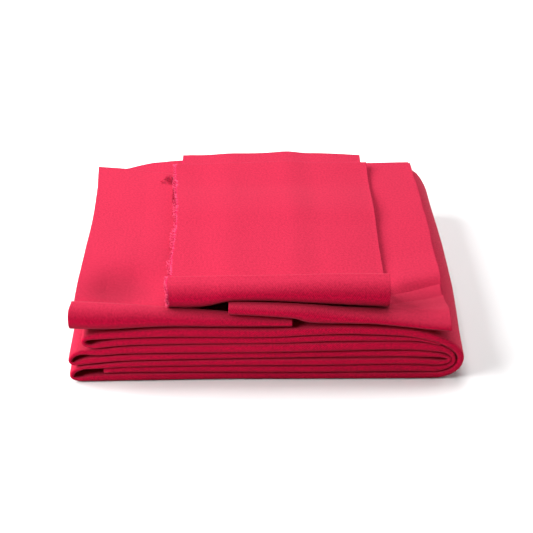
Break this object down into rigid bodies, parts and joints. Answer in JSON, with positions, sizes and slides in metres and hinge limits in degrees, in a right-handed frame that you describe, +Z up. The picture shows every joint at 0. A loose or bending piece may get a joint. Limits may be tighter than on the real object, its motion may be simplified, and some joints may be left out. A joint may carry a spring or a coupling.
{
  "type": "folded fabric length with folded panels",
  "caption": "Flat-folded pile of crimson twill cloth: a long length folded into a thick stack, with smaller once-folded panels lying on it, the top one with a frayed edge.",
  "frame": {"origin": "centre of the whole pile's footprint, on the surface it lies on", "axes": "+Z up; -Y is the front, where the long length shows its folds side on and the panels show their folds; +X to the right along the pile's long side"},
  "size_m": [0.3, 0.24, 0.0876],
  "materials": {
    "twill": "matt crimson twill with a soft sheen",
    "yarn": "loose crimson yarn, a little brighter than the cloth"
  },
  "bodies": {
    "main_length": {"main_length": "twill"},
    "lower_panel": {"lower_panel": "twill"},
    "middle_panel": {"middle_panel": "twill"},
    "top_panel": {"top_panel": "twill"},
    "top_panel_flap": {"top_panel_flap": "twill", "loose_yarns": "yarn"}
  },
  "joints": [
    {"name": "lower_panel_lift", "type": "slide", "parent": "main_length", "child": "lower_panel", "axis": [0, 0, 1], "range_m": [0, 0.1]},
    {"name": "middle_panel_lift", "type": "slide", "parent": "lower_panel", "child": "middle_panel", "axis": [0, 0, 1], "range_m": [0, 0.1]},
    {"name": "top_panel_lift", "type": "slide", "parent": "middle_panel", "child": "top_panel", "axis": [0, 0, 1], "range_m": [0, 0.1]},
    {"name": "top_panel_open", "type": "hinge", "parent": "top_panel", "child": "top_panel_flap", "pos_m": [0.00875, -0.101, 0.0765], "axis": [1, 0, 0], "range_deg": [0, 80]}
  ]
}
